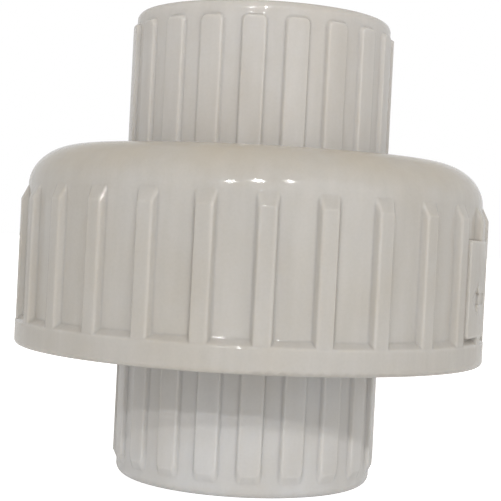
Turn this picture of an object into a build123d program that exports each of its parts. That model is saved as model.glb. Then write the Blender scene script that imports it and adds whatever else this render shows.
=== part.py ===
from build123d import *

import os

# A plastic pipe union: two socket ends that a ribbed nut draws together, with an O-ring between their
# faces. Millimetres. The pipe axis is +Z and the origin is the centre of the lower end's rim. An angle
# round the axis is measured from -Y towards +X. The threaded end is below; the nut holds the upper end.

# Both ends: hubs that take 3/4 inch pipe
OVERALL_HEIGHT = 62.7
HUB_RADIUS = 17.4
SOCKET_RADIUS = 13.36
SOCKET_DEPTH = 25.4
SOCKET_MOUTH_CHAMFER = 1.0
WATERWAY_RADIUS = 9.8
LOWER_RIM_ROUND = 1.2
UPPER_RIM_ROUND = 1.1
JOINT_Z = 33.0

# Grip ribs on the hubs
HUB_RIB_COUNT = 20
HUB_RIB_TOP_RADIUS = 17.93
HUB_RIB_FOOT_WIDTH = 3.2
HUB_RIB_END_ROUND = 0.9
HUB_RIB_SIDE_LEAN = 0.4
HUB_RIB_EDGE_ROUND = 0.18
HUB_RIB_FROM_RIM = 1.9
LOWER_RIB_HIGH_Z = 19.6
LOWER_RIB_END_LEAN = 2.0
LOWER_RIB_ANGLE = 2.6
UPPER_RIB_LOW_Z = 40.6
UPPER_RIB_END_LEAN = 0.5
UPPER_RIB_ANGLE = -4.0

# A raised rib or pad is sunk this deep into its wall, and its straight block stands this much too high
# before its top is trimmed round. Its sides and ends lean in by so much per millimetre up.
BAR_SINK = 0.5
BAR_TRIM = 0.2

# Threaded head of the lower end, cored out from below between webs
HEAD_BOTTOM_Z = 18.9
HEAD_CHAMFER = 0.6
CORE_INNER_RADIUS = 18.5
CORE_OUTER_RADIUS = 21.0
CORE_TOP_Z = 28.0
CORE_COUNT = 10
CORE_WEB_WIDTH = 2.2

# Right-hand trapezoidal thread; the nut's thread stands back from it by the clearance
THREAD_PITCH = 4.0
THREAD_DEPTH = 1.7
THREAD_ROOT_WIDTH = 2.2
THREAD_CREST_WIDTH = 1.1
THREAD_CLEARANCE = 0.3
THREAD_SINK = 0.4
THREAD_ROOT_RADIUS = 23.95
THREAD_START_Z = 20.5
THREAD_TURNS = 2.8
THREAD_LEAD_IN = 1.5
NUT_THREAD_START_ANGLE = 72
NUT_THREAD_TURNS = 2.9

# O-ring at its squeezed section: flat where the two faces hold it, round at the sides
SEAL_MEAN_RADIUS = 14.3
SEAL_HEIGHT = 2.8
SEAL_WIDTH = 4.1
SEAL_GROOVE_WIDTH = 4.3

# Collar of the upper end, which the nut's lip presses down
COLLAR_RADIUS = 24.0
COLLAR_TOP_Z = 38.9
COLLAR_CHAMFER = 0.5
COLLAR_FILLET = 0.9

# Nut: a band, a ribbed wall and an elliptical shoulder outside; thread, collar room and bore inside
NUT_BOTTOM_Z = 17.2
NUT_TOP_Z = 44.1
NUT_RADIUS = 31.95
NUT_RECESS_RADIUS = 31.0
NUT_BOTTOM_ROUND = 0.6
NUT_BAND_TOP_Z = 20.4
NUT_BAND_TOP_ROUND = 0.3
NUT_LEDGE_TOP_Z = 21.2
NUT_SHOULDER_Z = 38.4
NUT_SHOULDER_WIDTH = 7.0
NUT_BORE_RADIUS = 18.35
NUT_BORE_CHAMFER = 0.4
NUT_LIP_CHAMFER = 1.2
NUT_COLLAR_ROOM_RADIUS = 24.4
NUT_COLLAR_ROOM_Z = 33.8
NUT_ENTRY_CHAMFER = 0.7

# Grip ribs on the nut, which grow out of the band
NUT_RIB_COUNT = 27
NUT_RIB_ANGLE = 2.7
NUT_RIB_TOP_RADIUS = 31.88
NUT_RIB_LOW_Z = 18.6
NUT_RIB_HIGH_Z = 38.3
NUT_RIB_FOOT_WIDTH = 2.7
NUT_RIB_SIDE_LEAN = 0.4
NUT_RIB_END_LEAN = 2.0
NUT_RIB_END_ROUND = 0.5
NUT_RIB_EDGE_ROUND = 0.3

# Raised pad on the nut, with a plain arrow that points the way the nut tightens
PAD_ANGLE = 66.6
PAD_WIDTH = 8.2
PAD_LOW_Z = 21.3
PAD_HIGH_Z = 34.0
PAD_RADIUS = 31.95
PAD_CORNER_ROUND = 0.5
PAD_LEAN = 0.14
PAD_EDGE_ROUND = 0.2
ARROW_Z = 26.4
ARROW_LENGTH = 5.4
ARROW_HEAD_LENGTH = 2.4
ARROW_HEAD_WIDTH = 4.2
ARROW_SHAFT_WIDTH = 1.5
ARROW_DEPTH = 0.35


def rounded(face, corner, radius):
    """A flat face with the corner at that place rounded."""
    return fillet(face.vertices().sort_by_distance((*corner, 0))[0], radius)


def turned(corners, rounds=()):
    """The solid of revolution of (radius, height) corners; rounds gives (corner, radius) pairs."""
    face = Polygon(*corners, align=None)
    for corner, radius in rounds:
        face = rounded(face, corner, radius)
    return revolve(Plane.XZ * face, Axis.Z)


def around(solid, count, first_angle=0):
    """Copies of a solid, evenly spaced round the axis."""
    return [Rot(0, 0, first_angle + 360 / count * i) * solid for i in range(count)]


def thread(root_radius, root_width, crest_width, side, start_z, turns):
    """One right-hand ridge on a helix, sunk a little into its wall. side is 1 outwards and -1 inwards."""
    sink = root_radius - side * THREAD_SINK
    crest = root_radius + side * THREAD_DEPTH
    sunk_width = root_width + (root_width - crest_width) * THREAD_SINK / THREAD_DEPTH
    corners = [
        (sink, -sunk_width / 2),
        (sink, sunk_width / 2),
        (crest, crest_width / 2),
        (crest, -crest_width / 2),
    ]
    section = Plane.XZ * Pos(0, start_z) * Polygon(*corners, align=None)
    path = Helix(THREAD_PITCH, THREAD_PITCH * turns, root_radius, center=(0, 0, start_z))
    return sweep(section, path, is_frenet=True)


def raised_bar(wall_radius, top_radius, low, high, width, side_lean, end_lean, corner_round, edge_round):
    """A bar that stands on a round wall at -Y, with rounded corners and an eased top edge.

    Its width and its low and high ends are those at the wall."""
    foot = -BAR_SINK
    head = top_radius - wall_radius + BAR_TRIM
    across = Polygon(
        (-width / 2 + side_lean * foot, -wall_radius - foot),
        (-width / 2 + side_lean * head, -wall_radius - head),
        (width / 2 - side_lean * head, -wall_radius - head),
        (width / 2 - side_lean * foot, -wall_radius - foot),
        align=None,
    )
    along = Polygon(
        (-wall_radius - head, low + end_lean * head),
        (-wall_radius - foot, low + end_lean * foot),
        (-wall_radius - foot, high - end_lean * foot),
        (-wall_radius - head, high - end_lean * head),
        align=None,
    )
    block = extrude(across, 2 * high, both=True) & extrude(Plane.YZ * along, width, both=True)
    slanted = block.edges().filter_by(Axis.X, reverse=True).filter_by(Axis.Z, reverse=True)
    bar = fillet(slanted, corner_round) & Pos(0, 0, high) * Cylinder(top_radius, 2 * high)
    return fillet(bar.faces().sort_by(Axis.Y)[0].edges(), edge_round)


def hub_ribs(low, high, end_lean, first_angle):
    rib = raised_bar(
        HUB_RADIUS,
        HUB_RIB_TOP_RADIUS,
        low,
        high,
        HUB_RIB_FOOT_WIDTH,
        HUB_RIB_SIDE_LEAN,
        end_lean,
        HUB_RIB_END_ROUND,
        HUB_RIB_EDGE_ROUND,
    )
    return around(rib, HUB_RIB_COUNT, first_angle)


def socket_end(rim_z, floor_z):
    """The hole of one socket: mouth chamfer, straight wall, flat floor."""
    into = 1 if floor_z > rim_z else -1
    return turned(
        [
            (0, rim_z - into),
            (SOCKET_RADIUS + SOCKET_MOUTH_CHAMFER + 1, rim_z - into),
            (SOCKET_RADIUS, rim_z + into * SOCKET_MOUTH_CHAMFER),
            (SOCKET_RADIUS, floor_z),
            (0, floor_z),
        ]
    )


def waterway():
    return Cylinder(WATERWAY_RADIUS, OVERALL_HEIGHT, align=(Align.CENTER, Align.CENTER, Align.MIN))


def head_pockets():
    """Pockets between the hub's wall and the threaded wall, open below, with a web between each two."""
    floor = HEAD_BOTTOM_Z - 1
    trench = turned(
        [
            (CORE_INNER_RADIUS, floor),
            (CORE_OUTER_RADIUS, floor),
            (CORE_OUTER_RADIUS, CORE_TOP_Z),
            (CORE_INNER_RADIUS, CORE_TOP_Z),
        ]
    )
    web = Box(
        CORE_OUTER_RADIUS + 1,
        CORE_WEB_WIDTH,
        CORE_TOP_Z - floor + 2,
        align=(Align.MIN, Align.CENTER, Align.MIN),
    )
    return trench - around(Pos(0, 0, floor - 1) * web, CORE_COUNT)


def body_thread():
    ridge = thread(THREAD_ROOT_RADIUS, THREAD_ROOT_WIDTH, THREAD_CREST_WIDTH, 1, THREAD_START_Z, THREAD_TURNS)
    crest = THREAD_ROOT_RADIUS + THREAD_DEPTH
    bevelled = turned(
        [
            (0, HEAD_BOTTOM_Z),
            (crest - THREAD_LEAD_IN, HEAD_BOTTOM_Z),
            (crest + 0.1, HEAD_BOTTOM_Z + THREAD_LEAD_IN + 0.1),
            (crest + 0.1, JOINT_Z - THREAD_LEAD_IN - 0.1),
            (crest - THREAD_LEAD_IN, JOINT_Z),
            (0, JOINT_Z),
        ]
    )
    return ridge & bevelled


def union_body():
    """The lower end: a hub with its socket, and a threaded head whose face holds the O-ring."""
    bottom_rim = (HUB_RADIUS, 0)
    top_edge = (THREAD_ROOT_RADIUS, JOINT_Z)
    outside = turned(
        [
            (0, 0),
            bottom_rim,
            (HUB_RADIUS, HEAD_BOTTOM_Z),
            (THREAD_ROOT_RADIUS, HEAD_BOTTOM_Z),
            (THREAD_ROOT_RADIUS, JOINT_Z - HEAD_CHAMFER),
            (THREAD_ROOT_RADIUS - HEAD_CHAMFER, JOINT_Z),
            (0, JOINT_Z),
        ],
        [(bottom_rim, LOWER_RIM_ROUND)],
    )
    groove = turned(
        [
            (SEAL_MEAN_RADIUS - SEAL_GROOVE_WIDTH / 2, JOINT_Z - SEAL_HEIGHT),
            (SEAL_MEAN_RADIUS + SEAL_GROOVE_WIDTH / 2, JOINT_Z - SEAL_HEIGHT),
            (SEAL_MEAN_RADIUS + SEAL_GROOVE_WIDTH / 2, JOINT_Z + 1),
            (SEAL_MEAN_RADIUS - SEAL_GROOVE_WIDTH / 2, JOINT_Z + 1),
        ]
    )
    body = outside - head_pockets()
    body += hub_ribs(HUB_RIB_FROM_RIM, LOWER_RIB_HIGH_Z, LOWER_RIB_END_LEAN, LOWER_RIB_ANGLE)
    body += body_thread()
    return body - [socket_end(0, SOCKET_DEPTH), waterway(), groove]


def o_ring():
    section = Pos(SEAL_MEAN_RADIUS, JOINT_Z - SEAL_HEIGHT / 2) * SlotOverall(SEAL_WIDTH, SEAL_HEIGHT)
    return revolve(Plane.XZ * section, Axis.Z)


def tailpiece():
    """The upper end: a hub with its socket, on a collar whose lower face closes on the O-ring."""
    top_rim = (HUB_RADIUS, OVERALL_HEIGHT)
    inner_corner = (HUB_RADIUS, COLLAR_TOP_Z)
    outside = turned(
        [
            (0, JOINT_Z),
            (COLLAR_RADIUS - COLLAR_CHAMFER, JOINT_Z),
            (COLLAR_RADIUS, JOINT_Z + COLLAR_CHAMFER),
            (COLLAR_RADIUS, COLLAR_TOP_Z - COLLAR_CHAMFER),
            (COLLAR_RADIUS - COLLAR_CHAMFER, COLLAR_TOP_Z),
            inner_corner,
            top_rim,
            (0, OVERALL_HEIGHT),
        ],
        [(top_rim, UPPER_RIM_ROUND), (inner_corner, COLLAR_FILLET)],
    )
    outside += hub_ribs(
        UPPER_RIB_LOW_Z, OVERALL_HEIGHT - HUB_RIB_FROM_RIM, UPPER_RIB_END_LEAN, UPPER_RIB_ANGLE
    )
    return outside - [socket_end(OVERALL_HEIGHT, OVERALL_HEIGHT - SOCKET_DEPTH), waterway()]


def nut_outside():
    """The nut's solid shape without its ribs: band, sloped ledge, plain wall and elliptical shoulder."""
    flat_radius = NUT_RECESS_RADIUS - NUT_SHOULDER_WIDTH
    shoulder = EllipticalCenterArc(
        (flat_radius, NUT_SHOULDER_Z), NUT_SHOULDER_WIDTH, NUT_TOP_Z - NUT_SHOULDER_Z, 0, arc_size=90
    )
    rest = Polyline(
        (flat_radius, NUT_TOP_Z),
        (0, NUT_TOP_Z),
        (0, NUT_BOTTOM_Z),
        (NUT_RADIUS, NUT_BOTTOM_Z),
        (NUT_RADIUS, NUT_BAND_TOP_Z),
        (NUT_RECESS_RADIUS, NUT_LEDGE_TOP_Z),
        (NUT_RECESS_RADIUS, NUT_SHOULDER_Z),
    )
    face = make_face([*shoulder.edges(), *rest.edges()])
    face = rounded(face, (NUT_RADIUS, NUT_BOTTOM_Z), NUT_BOTTOM_ROUND)
    face = rounded(face, (NUT_RADIUS, NUT_BAND_TOP_Z), NUT_BAND_TOP_ROUND)
    return revolve(Plane.XZ * face, Axis.Z)


def nut_ribs():
    rib = raised_bar(
        NUT_RECESS_RADIUS,
        NUT_RIB_TOP_RADIUS,
        NUT_RIB_LOW_Z,
        NUT_RIB_HIGH_Z,
        NUT_RIB_FOOT_WIDTH,
        NUT_RIB_SIDE_LEAN,
        NUT_RIB_END_LEAN,
        NUT_RIB_END_ROUND,
        NUT_RIB_EDGE_ROUND,
    )
    return around(rib, NUT_RIB_COUNT, NUT_RIB_ANGLE)


def nut_inside():
    """The hollow of the nut: threaded part, room for the collar, and the bore round the hub."""
    lip_z = COLLAR_TOP_Z
    thread_root = THREAD_ROOT_RADIUS + THREAD_DEPTH + THREAD_CLEARANCE
    return turned(
        [
            (0, NUT_BOTTOM_Z - 1),
            (thread_root + NUT_ENTRY_CHAMFER + 1, NUT_BOTTOM_Z - 1),
            (thread_root, NUT_BOTTOM_Z + NUT_ENTRY_CHAMFER),
            (thread_root, NUT_COLLAR_ROOM_Z),
            (NUT_COLLAR_ROOM_RADIUS, NUT_COLLAR_ROOM_Z),
            (NUT_COLLAR_ROOM_RADIUS, lip_z),
            (NUT_BORE_RADIUS + NUT_LIP_CHAMFER, lip_z),
            (NUT_BORE_RADIUS, lip_z + NUT_LIP_CHAMFER),
            (NUT_BORE_RADIUS, NUT_TOP_Z - NUT_BORE_CHAMFER),
            (NUT_BORE_RADIUS + NUT_BORE_CHAMFER + 1, NUT_TOP_Z + 1),
            (0, NUT_TOP_Z + 1),
        ]
    )


def nut_thread():
    """The nut's ridge, which fills the lower end's groove less the clearance; it fades in at the mouth."""
    root = THREAD_ROOT_RADIUS + THREAD_DEPTH + THREAD_CLEARANCE
    crest = root - THREAD_DEPTH
    spread = (THREAD_ROOT_WIDTH - THREAD_CREST_WIDTH) / THREAD_DEPTH
    crest_width = THREAD_PITCH - THREAD_ROOT_WIDTH + (spread - 2) * THREAD_CLEARANCE
    root_width = crest_width + spread * THREAD_DEPTH
    start_z = THREAD_START_Z - THREAD_PITCH / 2 + THREAD_PITCH * NUT_THREAD_START_ANGLE / 360
    ridge = thread(root, root_width, crest_width, -1, start_z, NUT_THREAD_TURNS)
    mouth = turned(
        [
            (crest - 1, NUT_BOTTOM_Z),
            (root + 1, NUT_BOTTOM_Z),
            (crest - 1, NUT_BOTTOM_Z + root + 2 - crest),
        ]
    )
    return Rot(0, 0, NUT_THREAD_START_ANGLE) * ridge - mouth


def pad():
    """The raised pad, with the arrow cut into it. Tightening turns the front of the nut towards -X."""
    plate = raised_bar(
        NUT_RECESS_RADIUS,
        PAD_RADIUS,
        PAD_LOW_Z,
        PAD_HIGH_Z,
        PAD_WIDTH,
        PAD_LEAN,
        PAD_LEAN,
        PAD_CORNER_ROUND,
        PAD_EDGE_ROUND,
    )
    tip = -ARROW_LENGTH / 2
    neck = tip + ARROW_HEAD_LENGTH
    arrow = Polygon(
        (tip, 0),
        (neck, -ARROW_HEAD_WIDTH / 2),
        (neck, -ARROW_SHAFT_WIDTH / 2),
        (-tip, -ARROW_SHAFT_WIDTH / 2),
        (-tip, ARROW_SHAFT_WIDTH / 2),
        (neck, ARROW_SHAFT_WIDTH / 2),
        (neck, ARROW_HEAD_WIDTH / 2),
        align=None,
    )
    wall = Plane(origin=(0, -PAD_RADIUS - 1, ARROW_Z), x_dir=(1, 0, 0), z_dir=(0, -1, 0))
    cutter = extrude(wall * arrow, -PAD_RADIUS / 2) - Cylinder(PAD_RADIUS - ARROW_DEPTH, 3 * PAD_HIGH_Z)
    return Rot(0, 0, PAD_ANGLE) * (plate - cutter)


def union_nut():
    """The nut: grip ribs and pad outside, thread and pressing lip inside."""
    nut = nut_outside() + nut_ribs() + pad()
    return nut - nut_inside() + nut_thread()


os.makedirs("parts", exist_ok=True)
for make in (union_body, o_ring, tailpiece, union_nut):
    export_step(make(), f"parts/{make.__name__}.step")
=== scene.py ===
import math

import bpy
from mathutils import Matrix, Vector


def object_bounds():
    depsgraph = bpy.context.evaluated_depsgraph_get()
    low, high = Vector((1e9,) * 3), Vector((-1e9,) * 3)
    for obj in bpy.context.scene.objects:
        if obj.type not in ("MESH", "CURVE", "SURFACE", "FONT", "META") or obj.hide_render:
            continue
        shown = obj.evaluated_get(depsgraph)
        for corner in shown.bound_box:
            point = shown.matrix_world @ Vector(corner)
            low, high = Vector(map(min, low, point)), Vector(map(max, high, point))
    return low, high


# A plastic pipe union on a pale floor, under three small lamps, a large soft one and an even light.
# Metres; the pipe axis is +Z and the floor is at the lower end's rim.

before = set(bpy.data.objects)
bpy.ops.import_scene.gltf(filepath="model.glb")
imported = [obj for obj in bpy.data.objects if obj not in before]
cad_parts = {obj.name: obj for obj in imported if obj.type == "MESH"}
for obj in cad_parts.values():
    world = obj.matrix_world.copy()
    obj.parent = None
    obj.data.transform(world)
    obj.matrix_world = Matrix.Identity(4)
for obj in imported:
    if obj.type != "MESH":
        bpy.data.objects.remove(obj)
LOW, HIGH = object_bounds()
MIDDLE = (LOW + HIGH) / 2
MM = 0.001

# Camera: close, a few tenths of a degree above the level and turned about its line of sight, in degrees
CAMERA_DISTANCE = 0.1803
CAMERA_HEIGHT = 0.77
CAMERA_ROLL = 2.9
CAMERA_LENS = 93.6
CAMERA_NEAREST = 0.01
AIM_OFFSET = Vector((-0.33 * MM, 0, -0.35 * MM))

# Even light: its strength, what the camera sees of it, and its colour at the level and overhead
SKY_LIGHT = 0.76
SKY_SEEN = 1.0
SKY_LEVEL = (1.0, 1.0, 1.0, 1)
SKY_OVERHEAD = (0.66, 0.62, 0.56, 1)

# The sines of the heights between which the one colour turns into the other
OVERHEAD_FROM = 0.2
OVERHEAD_TO = 0.9

# Floor: its glow as the union and the camera see it, and its place just under the rim
FLOOR_GLOW = 0.12
FLOOR_SEEN = 0.85
FLOOR_COLOUR = (0.86, 0.86, 0.86, 1)
FLOOR_ROUGHNESS = 0.9
FLOOR_SIZE = 6.0
FLOOR_GAP = 0.02 * MM

# Lamps: name, direction round the union from -Y towards +X and height in degrees, distance, width, power
LAMPS = [
    ("left_lamp", -12.4, 22.0, 0.42, 0.012, 0.30),
    ("middle_lamp", 0.8, 26.5, 0.42, 0.013, 0.31),
    ("right_lamp", 16.6, 29.5, 0.42, 0.012, 0.13),
    ("soft_lamp", 38, 14, 0.60, 0.55, 0.50),
]

# Plastics: name, clear shade, warm shade, share of stain and painted corner shade, shift of the mottling in
# millimetres
LOWER_PLASTIC = ("lower_end_plastic", (0.565, 0.558, 0.550, 1), (0.543, 0.528, 0.507, 1), 0.05, (0, 0, 0))
UPPER_PLASTIC = ("upper_end_plastic", (0.518, 0.500, 0.477, 1), (0.493, 0.467, 0.434, 1), 0.05, (40, 0, 0))
NUT_PLASTIC = ("nut_plastic_look", (0.468, 0.450, 0.424, 1), (0.456, 0.432, 0.396, 1), 0.20, (0, 80, 0))
# Brown laid into corners by an occlusion mask: a stain, and painted corner shade as well
STAIN_AND_SHADE = (0.36, 0.29, 0.21, 1)
YELLOW = (0.464, 0.420, 0.352, 1)

# Heights in millimetres between which the nut's shoulder turns yellow
SHOULDER_YELLOWS = (39.5, 43.5)

# The most that each effect colours a plastic
STREAK_SHARE = 0.10
SPECK_SHARE = 0.05
YELLOW_SHARE = 0.8

# Widths in millimetres of what mottles a plastic, and how far its flow streaks are drawn out along each axis
CLOUD_SIZE = 9
FLOW_SIZE = 1
FLOW_STRETCH = (1.6, 1.6, 14)
GRAIN_SIZE = 0.35
PATCH_SIZE = 5
SCUFF_SIZE = 2.2

# Reliefs of the plastics and the rubber: depth in millimetres and strength
CLOUD_RELIEF = (0.12, 0.2)
FLOW_RELIEF = (0.02, 0.3)
GRAIN_RELIEF = (0.008, 0.6)
RUBBER_RELIEF = (0.02, 0.5)

# How far plastic edges are eased and how far from a corner the stain and painted corner shade reach, in
# millimetres
EASED_EDGE = 0.5
CORNER_SHADE_REACH = 2.6

# Light on and in the plastics: it goes MILKY_REACH millimetres in, times MILKY_SPREAD for each colour
PLASTIC_ROUGHNESS = (0.06, 0.13)
PLASTIC_IOR = 1.49
MILKY_SHARE = 0.7
MILKY_REACH = 1.2
MILKY_SPREAD = (1.0, 0.92, 0.8)

# Rubber: its black, its paler bloom and the widths in millimetres of bloom and grain
RUBBER_BLACK = (0.012, 0.012, 0.013, 1)
RUBBER_BLOOM = (0.045, 0.044, 0.043, 1)
RUBBER_ROUGHNESS = (0.42, 0.62)
BLOOM_SIZE = 2.5
RUBBER_GRAIN_SIZE = 0.18


def feed(tree, socket, value):
    """Sets an input to a value, or links it to a socket."""
    if isinstance(value, bpy.types.NodeSocket):
        tree.links.new(value, socket)
    else:
        socket.default_value = value


def add(tree, kind, settings=None, **inputs):
    """A new shader node with its own settings, and its inputs by name, with _ for a space."""
    node = tree.nodes.new("ShaderNode" + kind)
    for name, value in (settings or {}).items():
        setattr(node, name, value)
    for name, value in inputs.items():
        feed(tree, node.inputs[name.replace("_", " ")], value)
    return node


def multiply(tree, first, second):
    node = add(tree, "Math", {"operation": "MULTIPLY"})
    feed(tree, node.inputs[0], first)
    feed(tree, node.inputs[1], second)
    return node.outputs[0]


def spread(tree, value, from_low, from_high, to_low, to_high):
    """A value moved from one range to another and held inside it."""
    ends = {"From_Min": from_low, "From_Max": from_high, "To_Min": to_low, "To_Max": to_high}
    return add(tree, "MapRange", {"clamp": True}, Value=value, **ends).outputs["Result"]


def millimetres(tree, stretch=(1, 1, 1), shift=(0, 0, 0)):
    """Places on the piece in millimetres, stretched along its axes and shifted."""
    place = add(tree, "TexCoord").outputs["Object"]
    scale = [1 / (MM * s) for s in stretch]
    return add(tree, "Mapping", Vector=place, Scale=scale, Location=shift).outputs["Vector"]


def noise(tree, place, size, detail=2.0, roughness=0.5):
    """Soft noise whose blotches are about size millimetres wide."""
    node = add(tree, "TexNoise", Vector=place, Scale=1 / size, Detail=detail, Roughness=roughness)
    return node.outputs["Fac"]


def blend(tree, share, first, second, mode="MIX"):
    """The first colour with a share of the second laid over it."""
    node = add(tree, "Mix", {"data_type": "RGBA", "blend_type": mode})
    sockets = {socket.identifier: socket for socket in node.inputs}
    feed(tree, sockets["Factor_Float"], share)
    feed(tree, sockets["A_Color"], first)
    feed(tree, sockets["B_Color"], second)
    return next(socket for socket in node.outputs if socket.identifier == "Result_Color")


def bump(tree, height, relief, normal=None):
    """A relief, given as depth in millimetres and strength, on top of another normal if there is one."""
    depth, strength = relief
    node = add(tree, "Bump", Height=height, Distance=depth * MM, Strength=strength)
    if normal is not None:
        tree.links.new(normal, node.inputs["Normal"])
    return node.outputs["Normal"]


def new_material(name):
    """A material with an empty Principled shader."""
    material = bpy.data.materials.new(name)
    material.use_nodes = True
    tree = material.node_tree
    return material, tree, tree.nodes["Principled BSDF"]


def yellowing(tree, colour, heights, clouds):
    """The colour, unevenly yellower from the lower of two heights to the upper."""
    height = add(tree, "SeparateXYZ", Vector=millimetres(tree)).outputs["Z"]
    share = spread(tree, height, *heights, 0, YELLOW_SHARE)
    uneven = spread(tree, clouds, 0.3, 0.6, 0.5, 1)
    return blend(tree, multiply(tree, share, uneven), colour, YELLOW)


def stained_and_shaded(tree, colour, place, stain_and_shade_share):
    """The colour with patches of brown laid into the piece's corners by ambient occlusion: partly stain,
    partly painted shade.
    """
    open_sky = add(tree, "AmbientOcclusion", {"samples": 8}, Distance=CORNER_SHADE_REACH * MM).outputs["AO"]
    # The occlusion mask brings the brown into corners and recesses, where shade falls: painted corner shade
    # as well as stain
    corner = spread(tree, open_sky, 0.35, 0.85, 1, 0)
    patches = noise(tree, place, PATCH_SIZE, detail=4, roughness=0.6)
    patch = spread(tree, patches, 0.42, 0.62, 0, stain_and_shade_share)
    return blend(tree, multiply(tree, corner, patch), colour, STAIN_AND_SHADE)


def milky_plastic(name, clear, warm, stain_and_shade_share, shift, yellowed=None):
    """Unpigmented moulded plastic: milky, a little translucent, mottled, and lightly stained and darkened
    with painted shade in its corners.

    yellowed gives the two heights between which it turns yellow."""
    material, tree, shader = new_material(name)
    place = millimetres(tree, shift=shift)
    clouds = noise(tree, place, CLOUD_SIZE, detail=3)
    flow = noise(tree, millimetres(tree, FLOW_STRETCH, shift), FLOW_SIZE)
    grain = noise(tree, place, GRAIN_SIZE)

    colour = blend(tree, spread(tree, clouds, 0.35, 0.65, 0, 1), clear, warm)
    colour = blend(tree, spread(tree, flow, 0.3, 0.7, 0, STREAK_SHARE), colour, warm, "MULTIPLY")
    colour = blend(tree, spread(tree, grain, 0.35, 0.7, 0, SPECK_SHARE), colour, warm, "MULTIPLY")
    if yellowed:
        colour = yellowing(tree, colour, yellowed, clouds)
    # Brown stain and painted corner shade, laid in by the occlusion mask
    tree.links.new(stained_and_shaded(tree, colour, place, stain_and_shade_share), shader.inputs["Base Color"])

    scuffs = noise(tree, place, SCUFF_SIZE, detail=6, roughness=0.7)
    tree.links.new(spread(tree, scuffs, 0.35, 0.7, *PLASTIC_ROUGHNESS), shader.inputs["Roughness"])

    normal = add(tree, "Bevel", {"samples": 6}, Radius=EASED_EDGE * MM).outputs["Normal"]
    for height, relief in ((clouds, CLOUD_RELIEF), (flow, FLOW_RELIEF), (grain, GRAIN_RELIEF)):
        normal = bump(tree, height, relief, normal)
    tree.links.new(normal, shader.inputs["Normal"])

    shader.inputs["Subsurface Weight"].default_value = MILKY_SHARE
    shader.inputs["Subsurface Radius"].default_value = MILKY_SPREAD
    shader.inputs["Subsurface Scale"].default_value = MILKY_REACH * MM
    shader.inputs["IOR"].default_value = PLASTIC_IOR
    return material


def seal_rubber():
    """Black moulded rubber with a soft bloom."""
    material, tree, shader = new_material("seal_rubber_look")
    place = millimetres(tree)
    bloom = noise(tree, place, BLOOM_SIZE, detail=4, roughness=0.6)
    grain = noise(tree, place, RUBBER_GRAIN_SIZE)
    colour = blend(tree, spread(tree, bloom, 0.4, 0.75, 0, 1), RUBBER_BLACK, RUBBER_BLOOM)
    tree.links.new(colour, shader.inputs["Base Color"])
    tree.links.new(spread(tree, bloom, 0.3, 0.7, *RUBBER_ROUGHNESS), shader.inputs["Roughness"])
    tree.links.new(bump(tree, grain, RUBBER_RELIEF), shader.inputs["Normal"])
    return material


def dress(piece, material):
    """Gives a CAD node one material."""
    piece.data.materials.clear()
    piece.data.materials.append(material)


def outward(azimuth, height):
    """The direction away from the union at that many degrees round it, from -Y towards +X, and upwards."""
    turn = math.radians(azimuth)
    rise = math.radians(height)
    return Vector((math.sin(turn) * math.cos(rise), -math.cos(turn) * math.cos(rise), math.sin(rise)))


def aimed(place, back):
    """Where a camera or lamp stands to look against the direction back."""
    return Matrix.Translation(place) @ (-back).to_track_quat("-Z", "Y").to_matrix().to_4x4()


def make_camera():
    camera = bpy.data.objects.new("camera", bpy.data.cameras.new("camera"))
    camera.data.lens = CAMERA_LENS
    camera.data.clip_start = CAMERA_NEAREST
    back = outward(0, CAMERA_HEIGHT)
    roll = Matrix.Rotation(math.radians(CAMERA_ROLL), 4, "Z")
    camera.matrix_world = aimed(MIDDLE + AIM_OFFSET + back * CAMERA_DISTANCE, back) @ roll
    bpy.context.scene.collection.objects.link(camera)
    bpy.context.scene.camera = camera


def make_floor():
    """A wide pale floor under the lower rim."""
    half = FLOOR_SIZE / 2
    mesh = bpy.data.meshes.new("floor")
    corners = [(-half, -half), (half, -half), (half, half), (-half, half)]
    mesh.from_pydata([(x, y, LOW.z - FLOOR_GAP) for x, y in corners], [], [(0, 1, 2, 3)])
    floor = bpy.data.objects.new("floor", mesh)
    bpy.context.scene.collection.objects.link(floor)
    material, tree, shader = new_material("pale_floor")
    shader.inputs["Base Color"].default_value = FLOOR_COLOUR
    shader.inputs["Roughness"].default_value = FLOOR_ROUGHNESS
    shader.inputs["Emission Color"].default_value = (1, 1, 1, 1)
    seen = add(tree, "LightPath").outputs["Is Camera Ray"]
    glow = spread(tree, seen, 0, 1, FLOOR_GLOW, FLOOR_SEEN)
    tree.links.new(glow, shader.inputs["Emission Strength"])
    mesh.materials.append(material)


def make_sky():
    """An even light from all round, and a white background."""
    world = bpy.data.worlds.new("sky")
    world.use_nodes = True
    tree = world.node_tree
    background = tree.nodes["Background"]
    direction = add(tree, "SeparateXYZ", Vector=add(tree, "TexCoord").outputs["Generated"])
    overhead = spread(tree, direction.outputs["Z"], OVERHEAD_FROM, OVERHEAD_TO, 0, 1)
    tree.links.new(blend(tree, overhead, SKY_LEVEL, SKY_OVERHEAD), background.inputs["Color"])
    seen = add(tree, "LightPath").outputs["Is Camera Ray"]
    tree.links.new(spread(tree, seen, 0, 1, SKY_LIGHT, SKY_SEEN), background.inputs["Strength"])
    bpy.context.scene.world = world


def make_lamp(name, azimuth, height, distance, width, power):
    """A round lamp that shines at the middle of the union."""
    light = bpy.data.lights.new(name, "AREA")
    light.shape = "DISK"
    light.size = width
    light.energy = power
    back = outward(azimuth, height)
    lamp = bpy.data.objects.new(name, light)
    lamp.matrix_world = aimed(MIDDLE + back * distance, back)
    bpy.context.scene.collection.objects.link(lamp)


make_camera()
make_floor()
make_sky()
for lamp in LAMPS:
    make_lamp(*lamp)

bpy.context.scene.view_settings.view_transform = "Standard"

dress(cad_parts["union_body"], milky_plastic(*LOWER_PLASTIC))
dress(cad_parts["tailpiece"], milky_plastic(*UPPER_PLASTIC))
dress(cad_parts["union_nut"], milky_plastic(*NUT_PLASTIC, yellowed=SHOULDER_YELLOWS))
dress(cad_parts["o_ring"], seal_rubber())
